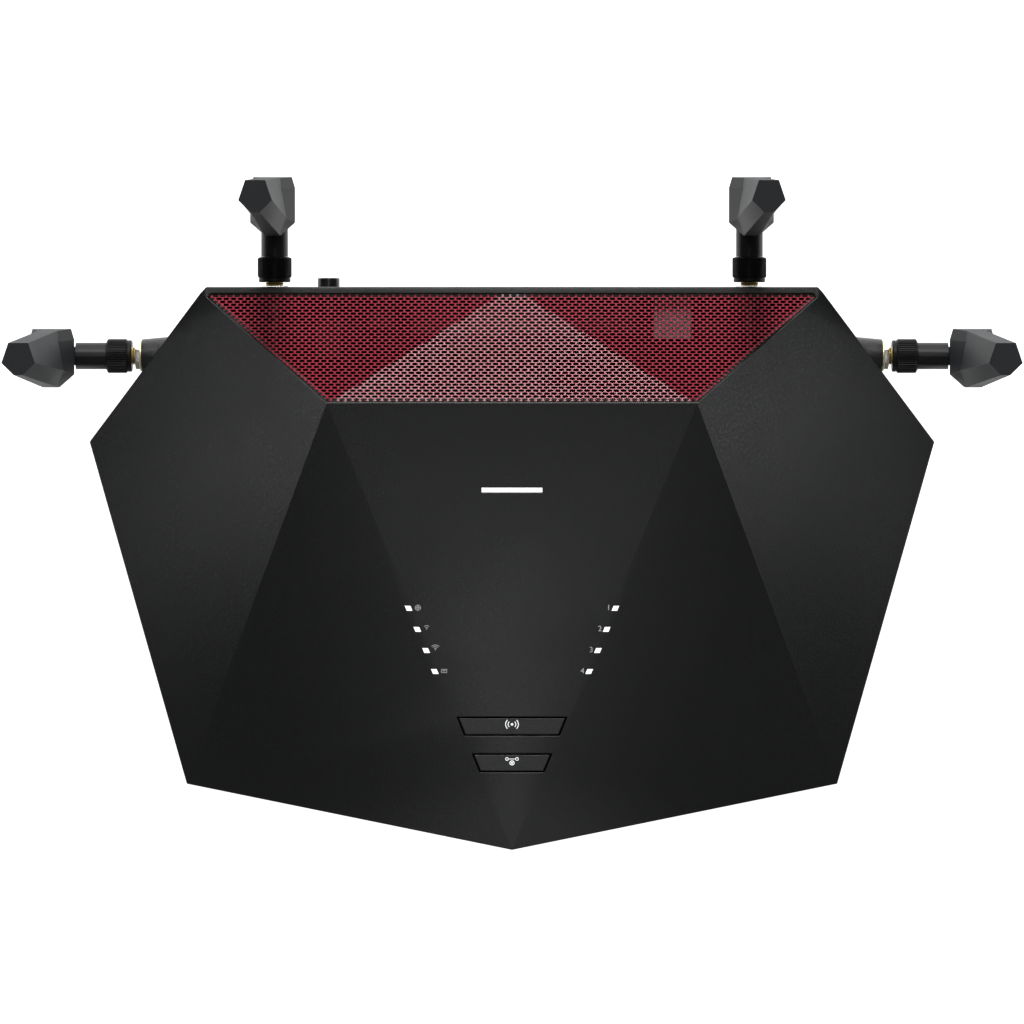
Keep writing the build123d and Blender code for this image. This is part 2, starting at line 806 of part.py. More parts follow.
for name, seat in antennas.items():
    hinge = seat.origin
    # the same place seen along the pin: X runs inwards along the connector and Y is up
    pin_view = Plane(origin=hinge, x_dir=seat.z_dir, z_dir=-seat.x_dir)
    upright = Plane(origin=hinge)

    taper = [
        blade_section(upright.offset(blade_root_z), blade_root_section),
        blade_section(upright.offset(blade_length), blade_tip_section),
    ]
    bulb = [
        blade_section(upright.offset(bulb_foot_z), bulb_foot_section),
        blade_section(upright.offset(bulb_wide_z), bulb_wide_section),
        blade_section(upright.offset(bulb_crown_z), bulb_crown_section),
    ]

    with BuildPart() as blade:
        loft(taper, ruled=True)
        loft(bulb, ruled=True)
        # slot for the barrel's tongue, open inwards and downwards for the fold
        with BuildSketch(pin_view):
            Circle(tongue_radius + slot_gap)
            with Locations((-neck_half - slot_gap, neck_half + slot_gap)):
                Rectangle(30, 30, align=(Align.MIN, Align.MAX))
        extrude(amount=tongue_half + 0.3, both=True, mode=Mode.SUBTRACT)
        # the cheeks keep clear of the barrel's end while the blade folds
        with BuildSketch(pin_view):
            with Locations((0, barrel_radius + 0.5)):
                Rectangle(30, 30, align=(Align.MIN, Align.MAX))
            Circle(barrel_near - 0.4, mode=Mode.SUBTRACT)
        extrude(amount=15, both=True, mode=Mode.SUBTRACT)
        with BuildSketch(pin_view):
            Circle(pin_radius)
        extrude(amount=pin_half, both=True, mode=Mode.SUBTRACT)
        # channel that holds the radiator, open into the slot
        with BuildSketch(upright.offset(tongue_radius - 1)):
            with Locations((0, radiator_y)):
                Rectangle(5.5, 1.9)
        extrude(amount=blade_length - tongue_radius - 17, mode=Mode.SUBTRACT)
    save(blade, f"{name}_antenna_blade")

    with BuildPart() as radiator:
        with BuildSketch(upright.offset(tongue_radius + 4)):
            with Locations((0, radiator_y)):
                Rectangle(4.8, 0.8)
        extrude(amount=blade_length - tongue_radius - 24)
    save(radiator, f"{name}_antenna_radiator")

    with BuildPart() as hinge_pin:
        with BuildSketch(pin_view):
            Circle(pin_radius)
        extrude(amount=pin_half, both=True)
    save(hinge_pin, f"{name}_antenna_hinge_pin")

    with BuildPart() as barrel:
        with BuildSketch(pin_view):
            Circle(tongue_radius)
            with Locations((barrel_near / 2 + 0.5, 0)):
                Rectangle(barrel_near + 1, 2 * neck_half)
        extrude(amount=tongue_half, both=True)
        add_round(seat, barrel_near, barrel_far, barrel_radius)
        with BuildSketch(pin_view):
            Circle(pin_radius + 0.05)
        extrude(amount=tongue_half, both=True, mode=Mode.SUBTRACT)
        add_round(seat, journal_start - 0.3, barrel_far, journal_radius + 0.06, Mode.SUBTRACT)
    save(barrel, f"{name}_antenna_barrel")

    with BuildPart() as nut:
        add_round(seat, nut_start, nut_shoulder, nut_radius)
        add_round(seat, nut_shoulder, nut_end, collar_radius)
        add_round(seat, nut_start, nut_start + 1, journal_radius + 0.35, Mode.SUBTRACT)
        add_round(seat, nut_start + 1, jack_tip, plug_flange_radius + 0.4, Mode.SUBTRACT)
        add_round(seat, jack_tip, nut_end, jack_radius + 0.08, Mode.SUBTRACT)
    save(nut, f"{name}_antenna_nut")

    with BuildPart() as plug:
        add_round(seat, journal_start, plug_flange_start, journal_radius)
        add_round(seat, plug_flange_start, plug_flange_start + 0.8, plug_flange_radius)
        add_round(seat, plug_flange_start + 0.8, jack_tip + 2, insulator_radius)
        add_round(seat, jack_tip + 2, jack_tip + 4, 0.46)
    save(plug, f"{name}_antenna_plug")

    with BuildPart() as jack:
        inner_face = stack_face + boss_length
        add_round(seat, jack_tip, inner_face, jack_radius)
        add_round(seat, inner_face, inner_face + 2, jack_flange_radius)
        add_round(seat, inner_face + 2, crimp_end, 2.2)
        add_round(seat, jack_tip, jack_tip + 5, insulator_radius + 0.1, Mode.SUBTRACT)
    save(jack, f"{name}_antenna_socket")

# the hex nut and the washer that bolt each socket to its boss
with BuildPart() as connector_nuts:
    for seat in antennas.values():
        with BuildSketch(seat.offset(thread_nut_face)):
            RegularPolygon(4.0, 6, major_radius=False)
            Circle(jack_radius + 0.03, mode=Mode.SUBTRACT)
        extrude(amount=stack_face - washer_thickness - thread_nut_face)
save(connector_nuts, "connector_nuts")

with BuildPart() as connector_washers:
    for seat in antennas.values():
        with BuildSketch(seat.offset(stack_face - washer_thickness)):
            Circle(5.3)
            Circle(jack_radius + 0.03, mode=Mode.SUBTRACT)
        extrude(amount=washer_thickness)
save(connector_washers, "connector_washers")

# ---------------------------------------------------------------- inner leads to the antennas

lead_radius = 0.7
lead_bend = 5.0
lead_run_z = board_top_z + 1.2
side_lead = [
    (side_hinge_x - crimp_end, side_antenna_y, antenna_axis_z),
    (side_hinge_x - crimp_end - 11, side_antenna_y, antenna_axis_z),
    (98, 54, lead_run_z),
    (84, 52, lead_run_z),
]
rear_lead = [
    (rear_antenna_x, rear_hinge_y - crimp_end, antenna_axis_z),
    (rear_antenna_x, rear_hinge_y - crimp_end - 9, antenna_axis_z),
    (80, 48, lead_run_z),
    (72, 42, lead_run_z),
]
lead_routes = {"left": side_lead, "right": side_lead, "rear_left": rear_lead, "rear_right": rear_lead}

for name, right_hand_route in lead_routes.items():
    side = -1 if "left" in name else 1
    route = [Vector(side * x, y, z) for x, y, z in right_hand_route]
    with BuildPart() as lead:
        with BuildLine() as path:
            FilletPolyline(*route, radius=lead_bend)
        with BuildSketch(Plane(origin=route[0], z_dir=route[1] - route[0])):
            Circle(lead_radius)
        sweep()
        # the small snap-on plug at its end
        with BuildSketch(Plane.XY.offset(board_top_z)):
            with Locations((route[-1].X, route[-1].Y)):
                Circle(1.6)
        extrude(amount=2.0)
    save(lead, f"{name}_antenna_lead")
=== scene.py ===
import json
from math import cos, pi, radians, sin

import bpy
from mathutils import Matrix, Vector

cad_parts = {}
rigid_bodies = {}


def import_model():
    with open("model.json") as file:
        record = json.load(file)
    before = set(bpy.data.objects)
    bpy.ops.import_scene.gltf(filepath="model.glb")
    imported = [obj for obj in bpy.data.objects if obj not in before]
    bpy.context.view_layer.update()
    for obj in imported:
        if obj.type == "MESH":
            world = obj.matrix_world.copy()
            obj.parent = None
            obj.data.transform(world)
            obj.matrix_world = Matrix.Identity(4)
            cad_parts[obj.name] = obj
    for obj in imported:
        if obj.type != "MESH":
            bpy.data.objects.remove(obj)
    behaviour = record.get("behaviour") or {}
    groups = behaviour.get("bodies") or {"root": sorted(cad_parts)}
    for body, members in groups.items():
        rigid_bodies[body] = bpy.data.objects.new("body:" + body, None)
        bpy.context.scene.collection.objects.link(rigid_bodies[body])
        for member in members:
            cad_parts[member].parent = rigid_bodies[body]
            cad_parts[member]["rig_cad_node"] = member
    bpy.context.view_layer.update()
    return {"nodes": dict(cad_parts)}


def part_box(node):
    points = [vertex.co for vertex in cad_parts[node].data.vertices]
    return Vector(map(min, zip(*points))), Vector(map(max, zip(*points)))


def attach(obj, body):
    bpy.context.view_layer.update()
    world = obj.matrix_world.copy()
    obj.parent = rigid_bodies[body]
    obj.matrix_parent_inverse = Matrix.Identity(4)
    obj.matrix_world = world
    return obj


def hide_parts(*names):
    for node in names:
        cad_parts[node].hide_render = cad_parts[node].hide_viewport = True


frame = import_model()
mm = 0.001

# ------------------------------------------------------------------ camera
# A long lens looks almost straight down on the router from 1.87 m above the table. It stands over the
# rear of the casing and tips a little towards the front.
lens_height = 1.870
lens_y = 0.0652
lens_tip = radians(1.98)
bpy.ops.object.camera_add(location=(0, lens_y, lens_height), rotation=(-lens_tip, 0, 0))
camera = bpy.context.object
camera.data.sensor_width = 36.0
camera.data.lens = 185.1
camera.data.clip_end = 20.0
bpy.context.scene.camera = camera

# ------------------------------------------------------------------ table and studio light
# A plain white table under a dim studio sky. The strong softboxes stand behind the router and light the
# walls and edges that face the rear. The weak ones, in front and at the sides, each lift a few facets.
bpy.context.scene.view_settings.view_transform = "Standard"
bpy.ops.mesh.primitive_plane_add(size=7.0, location=(0, 0, -0.4 * mm))
table = bpy.context.object
table.name = "studio_table"
white = bpy.data.materials.new("white_table")
white.use_nodes = True
white_shader = white.node_tree.nodes["Principled BSDF"]
white_shader.inputs["Base Color"].default_value = (0.86, 0.86, 0.86, 1)
white_shader.inputs["Roughness"].default_value = 0.6
white_shader.inputs["Emission Color"].default_value = (1, 1, 1, 1)
white_shader.inputs["Emission Strength"].default_value = 1.0
table.data.materials.append(white)

sky = bpy.data.worlds.new("studio_sky")
bpy.context.scene.world = sky
sky.use_nodes = True
sky.node_tree.nodes["Background"].inputs["Color"].default_value = (1, 1, 1, 1)
sky.node_tree.nodes["Background"].inputs["Strength"].default_value = 0.08


def softbox(name, place, aim, size, power, spread=180):
    """A square soft light at a place, turned to face a point. A grid on it narrows its spread."""
    turn = (Vector(place) - Vector(aim)).to_track_quat("Z", "Y").to_euler()
    bpy.ops.object.light_add(type="AREA", location=place, rotation=turn)
    light = bpy.context.object
    light.name = name
    light.data.shape = "SQUARE"
    light.data.size = size
    light.data.energy = power
    light.data.spread = radians(spread)


softbox("front_softbox", (0, -0.372, 0.470), (0, -0.09, 0.02), 0.16, 0.13)
softbox("middle_softbox", (0, -0.240, 0.490), (0, -0.03, 0.04), 0.22, 0.03)
softbox("overhead_softbox", (0, 0.575, 2.55), (0, 0.06, 0.05), 0.5, 5.5)
softbox("rear_softbox", (0, 2.5, 0.78), (0, 0.05, 0.03), 1.1, 16)
softbox("rim_softbox", (0, 1.92, 1.82), (0, 0.05, 0.03), 0.5, 26)
for side in (-1, 1):
    softbox("wing_softbox", (side * 0.426, -0.115, 0.373), (side * 0.08, 0, 0.04), 0.13, 0.045)
    softbox("shoulder_softbox", (side * 0.70, -0.23, 0.63), (side * 0.06, 0.035, 0.055), 0.12, 0.0021,
            spread=16)
    softbox("flank_softbox", (side * 0.148, -0.272, 0.444), (side * 0.045, -0.03, 0.035), 0.15, 0.011)
    softbox("low_side_softbox", (side * 1.72, -1.45, 1.3), (0, 0, 0), 1.0, 0.35)
    softbox("rear_side_softbox", (side * 1.28, 1.53, 1.67), (0, 0, 0), 1.0, 4.0)

# ------------------------------------------------------------------ top cover
# One black moulding with a fine spark-eroded texture. It drops over the tray and is held by four screws
# from below. Its facets meet in crisp creases, and the edges of its openings are slightly rounded.


def new_group(name, given, made):
    """An empty node group with named inputs and outputs. Returns its tree and its two end nodes."""
    group = bpy.data.node_groups.new(name, "ShaderNodeTree")
    for direction, sockets in (("INPUT", given), ("OUTPUT", made)):
        for label, kind in sockets:
            group.interface.new_socket(name=label, in_out=direction, socket_type="NodeSocket" + kind)
    return group, group.nodes.new("NodeGroupInput"), group.nodes.new("NodeGroupOutput")


def feed(group, value, socket):
    """Sets a socket to a number, or links another socket to it."""
    if isinstance(value, (int, float)):
        socket.default_value = value
    else:
        group.links.new(value, socket)


def calculate(group, operation, first, second):
    """Adds one step of arithmetic to a node group. Each term is a socket or a number."""
    step = group.nodes.new("ShaderNodeMath")
    step.operation = operation
    feed(group, first, step.inputs[0])
    feed(group, second, step.inputs[1])
    return step.outputs[0]


def noise(group, scale, detail=2.0):
    """Adds a soft random pattern that is fixed to the piece, with values about 0.5."""
    texture = group.nodes.new("ShaderNodeTexNoise")
    texture.inputs["Detail"].default_value = detail
    here = group.nodes.new("ShaderNodeTexCoord").outputs["Object"]
    group.links.new(here, texture.inputs["Vector"])
    feed(group, scale, texture.inputs["Scale"])
    return texture.outputs["Fac"]


def vary_colour(group, given, made, *swings):
    """Puts out a group's colour, brightened and darkened by swings about zero."""
    gain = 1.0
    for swing in swings:
        gain = calculate(group, "ADD", swing, gain)
    tint = group.nodes.new("ShaderNodeVectorMath")
    tint.operation = "SCALE"
    group.links.new(given.outputs["Colour"], tint.inputs[0])
    group.links.new(gain, tint.inputs["Scale"])
    group.links.new(tint.outputs["Vector"], made.inputs["Colour"])


def emboss(group, made, height, depth, strength):
    """Puts out the normal of a shallow relief."""
    relief = group.nodes.new("ShaderNodeBump")
    relief.inputs["Distance"].default_value = depth
    feed(group, strength, relief.inputs["Strength"])
    group.links.new(height, relief.inputs["Height"])
    group.links.new(relief.outputs["Normal"], made.inputs["Normal"])


# the fine texture of a moulded skin: specks, a shallow relief, and slow unevenness in gloss
moulded_grain, given, made = new_group(
    "moulded_grain",
    (("Colour", "Color"), ("Roughness", "Float"), ("Grain per metre", "Float"), ("Speckle", "Float"),
     ("Relief", "Float")),
    (("Colour", "Color"), ("Roughness", "Float"), ("Normal", "Vector")),
)
clouds_per_metre, cloud_depth, speck_gloss = 14.0, 0.12, 0.16
speck = noise(moulded_grain, given.outputs["Grain per metre"])
cloud = noise(moulded_grain, clouds_per_metre, 3.0)
swing = calculate(moulded_grain, "SUBTRACT", speck, 0.5)
swing = calculate(moulded_grain, "MULTIPLY", swing, given.outputs["Speckle"])
slow = calculate(moulded_grain, "SUBTRACT", cloud, 0.5)
slow = calculate(moulded_grain, "MULTIPLY", slow, cloud_depth)
vary_colour(moulded_grain, given, made, swing, slow)
rough = calculate(moulded_grain, "ADD", given.outputs["Roughness"], slow)
rough = calculate(moulded_grain, "ADD", rough, calculate(moulded_grain, "MULTIPLY", swing, speck_gloss))
moulded_grain.links.new(rough, made.inputs["Roughness"])
emboss(moulded_grain, made, speck, 0.06 * mm, given.outputs["Relief"])


def grained(name, group, colour, roughness, sockets, level=0.5, metallic=0.0):
    """A material whose colour, gloss and relief come from a shared node group."""
    material = bpy.data.materials.new(name)
    material.use_nodes = True
    tree = material.node_tree
    shader = tree.nodes["Principled BSDF"]
    shader.inputs["Specular IOR Level"].default_value = level
    shader.inputs["Metallic"].default_value = metallic
    effect = tree.nodes.new("ShaderNodeGroup")
    effect.node_tree = group
    effect.inputs["Colour"].default_value = (*colour, 1)
    effect.inputs["Roughness"].default_value = roughness
    for label, value in sockets.items():
        effect.inputs[label].default_value = value
    tree.links.new(effect.outputs["Colour"], shader.inputs["Base Color"])
    tree.links.new(effect.outputs["Roughness"], shader.inputs["Roughness"])
    tree.links.new(effect.outputs["Normal"], shader.inputs["Normal"])
    return material


def moulded(name, colour, roughness, per_metre=2400, speckle=0.5, relief=0.35, level=0.5):
    """A moulded or painted surface."""
    sockets = {"Grain per metre": per_metre, "Speckle": speckle, "Relief": relief}
    return grained(name, moulded_grain, colour, roughness, sockets, level)


def take(piece):
    """Makes a piece the only selected and active one."""
    bpy.ops.object.select_all(action="DESELECT")
    piece.select_set(True)
    bpy.context.view_layer.objects.active = piece


def smooth(piece, angle=35):
    """Shades a piece smooth between its sharp edges, with its large faces kept flat."""
    take(piece)
    bpy.ops.object.shade_smooth_by_angle(angle=radians(angle))
    bpy.ops.object.modifier_add(type="WEIGHTED_NORMAL")
    piece.modifiers[-1].keep_sharp = True
    bpy.ops.object.modifier_apply(modifier=piece.modifiers[-1].name)


def soften(piece, width, segments=2, angle=30, clamp=True):
    """Rounds a piece's sharp edges."""
    take(piece)
    bpy.ops.object.modifier_add(type="BEVEL")
    rounding = piece.modifiers[-1]
    rounding.width = width
    rounding.segments = segments
    rounding.limit_method = "ANGLE"
    rounding.angle_limit = radians(angle)
    rounding.use_clamp_overlap = clamp
    bpy.ops.object.modifier_apply(modifier=rounding.name)


def dress(piece, body, material, node=None):
    """Gives a piece its material and its body, and hides the CAD node that it stands for, if one is given.
    """
    piece.data.materials.clear()
    piece.data.materials.append(material)
    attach(piece, body)
    if node:
        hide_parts(node)


def crease(piece, least_width):
    """Keeps the shallow edges of broad facets crisp. The narrow facets of round walls stay smooth."""
    least_fold, most_fold = radians(3), radians(30)
    points, beside = piece.data.vertices, {}
    for face in piece.data.polygons:
        around = sum((points[first].co - points[second].co).length for first, second in face.edge_keys)
        for key in face.edge_keys:
            beside.setdefault(key, []).append((face.normal.copy(), 2 * face.area / around))
    take(piece)
    bpy.ops.object.mode_set(mode="EDIT")
    bpy.ops.mesh.select_mode(type="EDGE")
    bpy.ops.mesh.select_all(action="DESELECT")
    bpy.ops.object.mode_set(mode="OBJECT")
    for edge in piece.data.edges:
        faces = beside.get(edge.key, [])
        if len(faces) == 2 and max(width for normal, width in faces) > least_width:
            edge.select = least_fold < faces[0][0].angle(faces[1][0]) < most_fold
    bpy.ops.object.mode_set(mode="EDIT")
    bpy.ops.mesh.mark_sharp()
    bpy.ops.mesh.select_mode(type="VERT")
    bpy.ops.object.mode_set(mode="OBJECT")


def finished(node, body, width, material, segments=2, angle=30, crisp=1.5 * mm, clamp=True):
    """A welded copy of a CAD piece with its sharp edges rounded by a width. It stands for that piece."""
    take(frame["nodes"][node])
    bpy.ops.object.duplicate()
    piece = bpy.context.object
    del piece["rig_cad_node"]
    piece.name = node + "_finished"
    bpy.ops.object.mode_set(mode="EDIT")
    bpy.ops.mesh.select_all(action="SELECT")
    bpy.ops.mesh.remove_doubles(threshold=0.002 * mm)
    bpy.ops.mesh.dissolve_limited(angle_limit=radians(0.4))
    bpy.ops.object.mode_set(mode="OBJECT")
    crease(piece, crisp)
    if width:
        soften(piece, width, segments, angle, clamp)
    smooth(piece)
    dress(piece, body, material, node)
    return piece


casing_black = moulded("casing_black", (0.0078, 0.0090, 0.0084), 0.31, per_metre=2300, speckle=1.0,
                       relief=0.9)
finished("top_cover", "router", 0.34 * mm, casing_black, clamp=False)

# ------------------------------------------------------------------ vent grille
# Thin sheet, pierced with staggered slots and folded along two creases, then painted red. It lies just
# below the cover's surface, and its edges are cut straight through the slots.
slot_pitch = 2.52 * mm
row_pitch = 1.02 * mm
slot_half_length = 1.14 * mm
slot_half_width = 0.50 * mm
corner_reach, corner_swell = 0.95, 1.18  # how far the slots' corners go, next to an oval's
cell_waist = 0.30 * mm  # half the length of the upright web between two slots of a row
sheet_thickness = 0.3 * mm
edge_gap = 0.25 * mm
above_panel = 0.07  # metres over the table, higher than the casing
near = 0.1 * mm

cad_grille = frame["nodes"]["vent_grille"]
grille_low, grille_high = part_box("vent_grille")
columns = int((grille_high.x - grille_low.x) / slot_pitch) + 3
row_pairs = int((grille_high.y - grille_low.y) / row_pitch / 2) + 2

bpy.ops.object.select_all(action="DESELECT")
bpy.ops.mesh.primitive_circle_add(vertices=8, radius=1.0, fill_type="NOTHING")
grille = bpy.context.object
grille.name = "vent_grille_sheet"
bpy.ops.object.mode_set(mode="EDIT")
bpy.ops.mesh.select_all(action="SELECT")
bpy.ops.mesh.extrude_edges_move()
bpy.ops.object.mode_set(mode="OBJECT")
# the eight selected points are the rim of one slot, and the eight others the edge of its cell
for point in grille.data.vertices:
    across, along = round(point.co.x, 1), round(point.co.y, 1)
    if point.select:
        corner = abs(across) > 0.5 and abs(along) > 0.5
        point.co.x = across * slot_half_length * (corner_reach if corner else 1)
        point.co.y = along * slot_half_width * (corner_swell if corner else 1)
    else:
        point.co.x = (across > 0.1) * slot_pitch / 2 - (across < -0.1) * slot_pitch / 2
        reach = row_pitch - cell_waist if abs(across) < 0.1 else cell_waist
        point.co.y = (along > 0.1) * reach - (along < -0.1) * reach


def repeat(piece, count, step, weld=True):
    """Copies a piece's mesh along a line, and welds the copies where they meet."""
    take(piece)
    bpy.ops.object.modifier_add(type="ARRAY")
    array = piece.modifiers[-1]
    array.count = count
    array.use_relative_offset = False
    array.use_constant_offset = True
    array.constant_offset_displace = step
    array.use_merge_vertices = weld
    array.merge_threshold = 0.01 * mm
    bpy.ops.object.modifier_apply(modifier=array.name)


repeat(grille, 2, (slot_pitch / 2, row_pitch, 0))
repeat(grille, columns, (slot_pitch, 0, 0))
repeat(grille, row_pairs, (0, 2 * row_pitch, 0))
start = Vector((-(columns - 0.5) / 2 * slot_pitch, grille_low.y - 0.4 * row_pitch, above_panel))
bpy.ops.object.mode_set(mode="EDIT")
bpy.ops.mesh.select_all(action="SELECT")
bpy.ops.mesh.remove_doubles(threshold=0.01 * mm)
bpy.ops.transform.translate(value=start)
# trimmed along the outline of the CAD panel, seen from above
rim = [v.co for v in cad_grille.data.vertices]
front_x = max(v.x for v in rim if v.y < grille_low.y + near)
rear_x = max(v.x for v in rim if v.y > grille_high.y - near)
side_y = max(v.y for v in rim if v.x > grille_high.x - near)
outline = [(front_x, grille_low.y), (grille_high.x, side_y), (rear_x, grille_high.y)]
cuts = [((0, grille_low.y + edge_gap / 2, 0), (0, -1, 0)), ((0, grille_high.y - edge_gap, 0), (0, 1, 0))]
for (x0, y0), (x1, y1) in zip(outline, outline[1:]):
    outward = Vector((y1 - y0, x0 - x1, 0)).normalized()
    inset = Vector((x0, y0, 0)) - outward * edge_gap
    cuts.append((inset, outward))
    cuts.append(((-inset.x, inset.y, 0), (-outward.x, outward.y, 0)))
for point, outward in cuts:
    bpy.ops.mesh.select_all(action="SELECT")
    bpy.ops.mesh.bisect(plane_co=point, plane_no=outward, clear_outer=True)
# ends of webs that the cuts left on their own are taken away
bpy.ops.mesh.select_all(action="DESELECT")
bpy.ops.object.mode_set(mode="OBJECT")
middle = (grille_low + grille_high) / 2
nearest = min(grille.data.vertices, key=lambda v: (v.co.xy - middle.xy).length)
nearest.select = True
bpy.ops.object.mode_set(mode="EDIT")
bpy.ops.mesh.select_mode(type="VERT")
bpy.ops.mesh.select_linked()
bpy.ops.mesh.select_all(action="INVERT")
bpy.ops.mesh.delete(type="VERT")
bpy.ops.object.mode_set(mode="OBJECT")
# laid down on the CAD panel's three facets, then given its thickness below them
bpy.ops.object.modifier_add(type="SHRINKWRAP")
fold = grille.modifiers[-1]
fold.wrap_method = "PROJECT"
fold.use_project_z = True
fold.use_negative_direction = True
fold.use_positive_direction = False
fold.target = cad_grille
bpy.ops.object.modifier_apply(modifier=fold.name)
bpy.ops.object.modifier_add(type="SOLIDIFY")
wall = grille.modifiers[-1]
wall.thickness = sheet_thickness
wall.offset = -1.0
# the back of the sheet and the walls of its slots take a near-black painted shade, which stands in for the
# dark inside the casing seen through the slots
wall.material_offset = 1
wall.material_offset_rim = 1
grille_red = moulded("grille_red", (0.62, 0.044, 0.084), 0.23, per_metre=3500, speckle=0.2, relief=0.15,
                     level=1.0)
# near-black painted shade for the sheet's back and its slot walls
grille_back_painted_shade = moulded("grille_back_painted_shade", (0.03, 0.004, 0.006), 0.6, per_metre=3500, relief=0.15)
dress(grille, "router", grille_red, "vent_grille")
grille.data.materials.append(grille_back_painted_shade)
bpy.ops.object.modifier_apply(modifier=wall.name)

# ------------------------------------------------------------------ status bar and indicator windows
# Clear acrylic light pipes that end flush with the cover. Their ends are frosted and glow evenly white.
diffused_light, given, made = new_group(
    "diffused_light", (("Colour", "Color"), ("Unevenness", "Float")), (("Colour", "Color"),)
)
patches_per_metre = 180.0
patch = calculate(diffused_light, "SUBTRACT", noise(diffused_light, patches_per_metre), 0.5)
patch = calculate(diffused_light, "MULTIPLY", patch, given.outputs["Unevenness"])
vary_colour(diffused_light, given, made, patch)


def glowing(name, colour, strength, unevenness=0.15):
    """Something lit from behind."""
    material = bpy.data.materials.new(name)
    material.use_nodes = True
    tree = material.node_tree
    shader = tree.nodes["Principled BSDF"]
    shader.inputs["Base Color"].default_value = (*colour, 1)
    shader.inputs["Roughness"].default_value = 0.5
    shader.inputs["Emission Strength"].default_value = strength
    effect = tree.nodes.new("ShaderNodeGroup")
    effect.node_tree = diffused_light
    effect.inputs["Colour"].default_value = (*colour, 1)
    effect.inputs["Unevenness"].default_value = unevenness
    tree.links.new(effect.outputs["Colour"], shader.inputs["Emission Color"])
    return material


pipe_side = moulded("light_pipe_side", (0.55, 0.57, 0.57), 0.15, speckle=0.05, relief=0.02)
pipe_end = glowing("light_pipe_end", (1.0, 1.0, 1.0), 1.0)
faces_up = 0.6  # least upward part of the normal of a light pipe's end
for node in ("status_bar_lens", "indicator_windows"):
    pipe = finished(node, "router", 0.06 * mm, pipe_side)
    pipe.data.materials.append(pipe_end)
    for face in pipe.data.polygons:
        if face.normal.z > faces_up:
            face.material_index = 1

# ------------------------------------------------------------------ long buttons
# Two hollow keycaps of the cover's own plastic that span the centre panel from ridge to ridge. Each has a
# sign let into it, which is lit from behind.


def arc(radius, width, middle=0.0, half=pi):
    """A flat ring, or a piece of one on each side of an angle, round the origin."""
    bpy.ops.object.select_all(action="DESELECT")
    bpy.ops.mesh.primitive_circle_add(vertices=48, radius=radius + width / 2, fill_type="NOTHING")
    ring = bpy.context.object
    bpy.ops.object.mode_set(mode="EDIT")
    bpy.ops.mesh.select_all(action="SELECT")
    bpy.ops.mesh.extrude_edges_move()
    inner = (radius - width / 2) / (radius + width / 2)
    bpy.ops.transform.resize(value=(inner, inner, 1), center_override=(0, 0, 0))
    bpy.ops.mesh.select_all(action="DESELECT")
    bpy.ops.object.mode_set(mode="OBJECT")
    aim = Vector((cos(middle), sin(middle)))
    for point in ring.data.vertices:
        point.select = half < pi and point.co.xy.angle(aim) > half
    bpy.ops.object.mode_set(mode="EDIT")
    bpy.ops.mesh.delete(type="VERT")
    bpy.ops.object.mode_set(mode="OBJECT")
    return ring


def disc(radius, x=0.0, y=0.0):
    """A flat disc."""
    bpy.ops.object.select_all(action="DESELECT")
    bpy.ops.mesh.primitive_circle_add(vertices=24, radius=radius, fill_type="NGON", location=(x, y, 0))
    return bpy.context.object


def bar(width, depth, x=0.0, y=0.0):
    """A flat rectangle."""
    bpy.ops.object.select_all(action="DESELECT")
    bpy.ops.mesh.primitive_plane_add(size=1, location=(x, y, 0))
    bpy.context.object.scale = (width, depth, 1)
    return bpy.context.object


def figure(text, height):
    """A numeral as a flat mesh, centred on the origin."""
    bpy.ops.object.select_all(action="DESELECT")
    bpy.ops.object.text_add()
    numeral = bpy.context.object
    numeral.data.body = text
    numeral.data.size = height
    numeral.data.align_x = "CENTER"
    numeral.data.align_y = "CENTER"
    bpy.ops.object.convert(target="MESH")
    return bpy.context.object


def let_in(name, marks, node, start, aim, body, material):
    """Joins flat marks into one thin inlay, and lays it on a finished piece where a line meets it."""
    bpy.ops.object.select_all(action="DESELECT")
    for mark in marks:
        mark.select_set(True)
    bpy.context.view_layer.objects.active = marks[0]
    bpy.ops.object.transform_apply(location=True, rotation=True, scale=True)
    if len(marks) > 1:
        bpy.ops.object.join()
    inlay = bpy.context.object
    inlay.name = name
    take(inlay)
    bpy.ops.object.modifier_add(type="SOLIDIFY")
    inlay.modifiers[-1].thickness = 0.06 * mm
    inlay.modifiers[-1].offset = 0.0
    bpy.ops.object.modifier_apply(modifier=inlay.modifiers[-1].name)
    aim = Vector(aim)
    bpy.context.view_layer.update()
    _, place, normal, _ = bpy.data.objects[node + "_finished"].ray_cast(Vector(start), aim)
    inlay.rotation_euler = (aim.to_track_quat("-Z", "Y")).to_euler()
    turn = (-aim).rotation_difference(normal)
    inlay.rotation_euler = (turn @ inlay.rotation_euler.to_quaternion()).to_euler()
    inlay.location = place + normal * 0.01 * mm
    bpy.ops.object.transform_apply(location=True, rotation=True, scale=True)
    smooth(inlay)
    dress(inlay, body, material)


sign_white = glowing("lit_sign", (0.92, 0.94, 0.95), 0.75)
print_grey = moulded("printed_grey", (0.72, 0.72, 0.72), 0.5, relief=0.05, speckle=0.15)
down = (0, 0, -1)
well_clear = 0.2  # metres above or behind the router, where a line that finds a surface starts
for node in ("wifi_button", "sync_button"):
    finished(node, node, 0.35 * mm, casing_black, segments=3, clamp=False)
low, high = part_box("wifi_button")
radio_sign = [disc(0.45 * mm)]
for middle in (0, pi):
    radio_sign.append(arc(1.35 * mm, 0.28 * mm, middle, radians(46)))
    radio_sign.append(arc(2.25 * mm, 0.28 * mm, middle, radians(46)))
let_in("wifi_sign", radio_sign, "wifi_button", (0, (low.y + high.y) / 2, well_clear), down,
       "wifi_button", sign_white)
low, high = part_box("sync_button")
link_sign = [arc(0.5 * mm, 0.26 * mm), arc(0.5 * mm, 0.26 * mm), arc(0.75 * mm, 0.3 * mm)]
